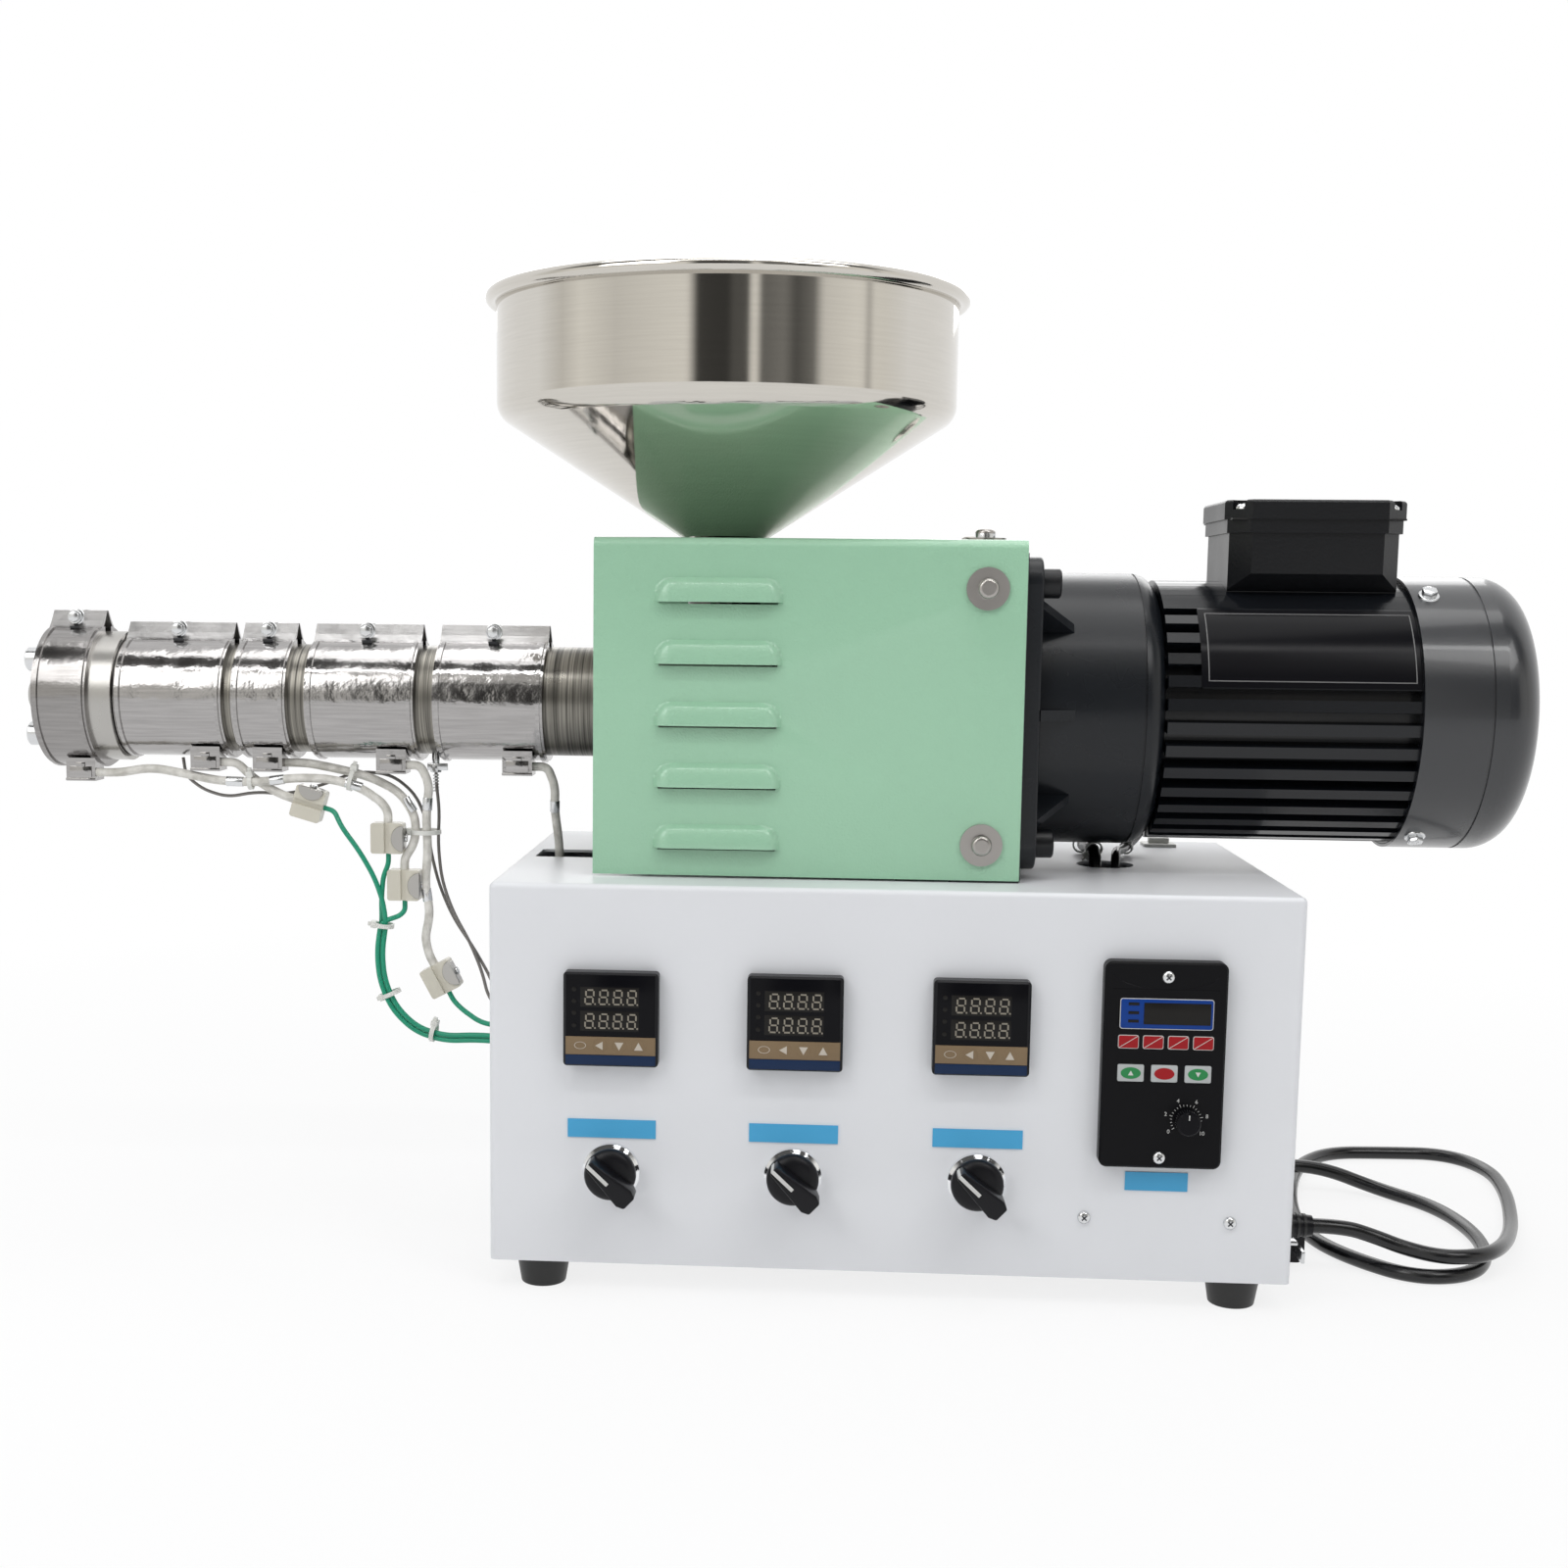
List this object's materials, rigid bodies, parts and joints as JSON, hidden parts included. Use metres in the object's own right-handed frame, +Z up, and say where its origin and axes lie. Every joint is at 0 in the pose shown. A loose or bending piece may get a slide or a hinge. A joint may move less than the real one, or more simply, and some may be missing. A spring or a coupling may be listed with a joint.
{
  "type": "plastic extruder",
  "caption": "Small plastic extruder: heated barrel and die, pellet hopper, geared motor under a louvred cover, on a control cabinet with rubber feet.",
  "frame": {"origin": "centre of the machine's footprint on the floor, without its power cord", "axes": "+X from the die towards the motor, +Y from the control panel to the rear, +Z up"},
  "size_m": [0.8693, 0.3208, 0.5156],
  "materials": {
    "black_plastic": "black moulded plastic",
    "black_rubber": "black rubber",
    "blue_strip": "sky-blue film strip",
    "cabinet_paint": "white powder coat, satin",
    "cable_black": "black cable sheath",
    "chrome_plate": "bright chrome plate",
    "dark_paint": "black paint, semi-gloss",
    "dark_steel": "dark grey painted steel",
    "display_lens": "dark display window",
    "green_paint": "mint green powder coat, fine texture",
    "green_wire": "green insulation",
    "polished_stainless": "polished stainless steel",
    "sleeve_grey": "woven glass-fibre sleeve",
    "stainless": "satin stainless steel",
    "turned_steel": "turned steel, light oil film",
    "white_ceramic": "white glazed ceramic",
    "zinc_steel": "zinc-plated steel"
  },
  "bodies": {
    "machine": {"band_heater_1": "polished_stainless", "band_heater_2": "polished_stainless", "band_heater_3": "polished_stainless", "band_heater_4": "polished_stainless", "band_heater_5": "polished_stainless", "barrel": "turned_steel", "barrel_stand": "dark_steel", "cabinet_base": "cabinet_paint", "cabinet_shell": "cabinet_paint", "controller_faces": "display_lens", "cooling_fan": "black_plastic", "cord_gland": "black_plastic", "cover_screws": "zinc_steel", "die_bolts": "zinc_steel", "die_head": "turned_steel", "drive_bracket": "dark_steel", "drive_cover": "green_paint", "extruder_screw": "turned_steel", "fan_cover": "dark_paint", "feed_block": "turned_steel", "flange_bolts": "dark_paint", "gear_reducer": "dark_paint", "heater_clamp_bolts": "zinc_steel", "heater_leads": "sleeve_grey", "heater_terminals": "stainless", "hopper": "polished_stainless", "label_strips": "blue_strip", "lead_connectors": "white_ceramic", "motor_body": "dark_paint", "motor_cables": "cable_black", "power_cord": "cable_black", "power_plug": "black_plastic", "rubber_feet": "black_rubber", "selector_bodies": "chrome_plate", "shaft_coupling": "turned_steel", "speed_controller": "black_plastic", "supply_wires": "green_wire", "temperature_controllers": "black_plastic", "terminal_box": "dark_paint", "terminal_box_lid": "dark_paint", "thermocouple_leads": "sleeve_grey"},
    "selector_left": {"selector_knob_left": "black_plastic"},
    "selector_middle": {"selector_knob_middle": "black_plastic"},
    "selector_right": {"selector_knob_right": "black_plastic"},
    "speed_dial": {"speed_knob": "black_plastic"}
  },
  "joints": [
    {"name": "selector_left_turn", "type": "hinge", "parent": "machine", "child": "selector_left", "pos_m": [-0.063, -0.11605, 0.064], "axis": [0, 1, 0], "range_deg": [0, 90]},
    {"name": "selector_middle_turn", "type": "hinge", "parent": "machine", "child": "selector_middle", "pos_m": [0.0295, -0.11605, 0.064], "axis": [0, 1, 0], "range_deg": [0, 90]},
    {"name": "selector_right_turn", "type": "hinge", "parent": "machine", "child": "selector_right", "pos_m": [0.122, -0.11605, 0.064], "axis": [0, 1, 0], "range_deg": [0, 90]},
    {"name": "speed_dial_turn", "type": "hinge", "parent": "machine", "child": "speed_dial", "pos_m": [0.2235, -0.11905, 0.1005], "axis": [0, 1, 0], "range_deg": [0, 280]}
  ]
}
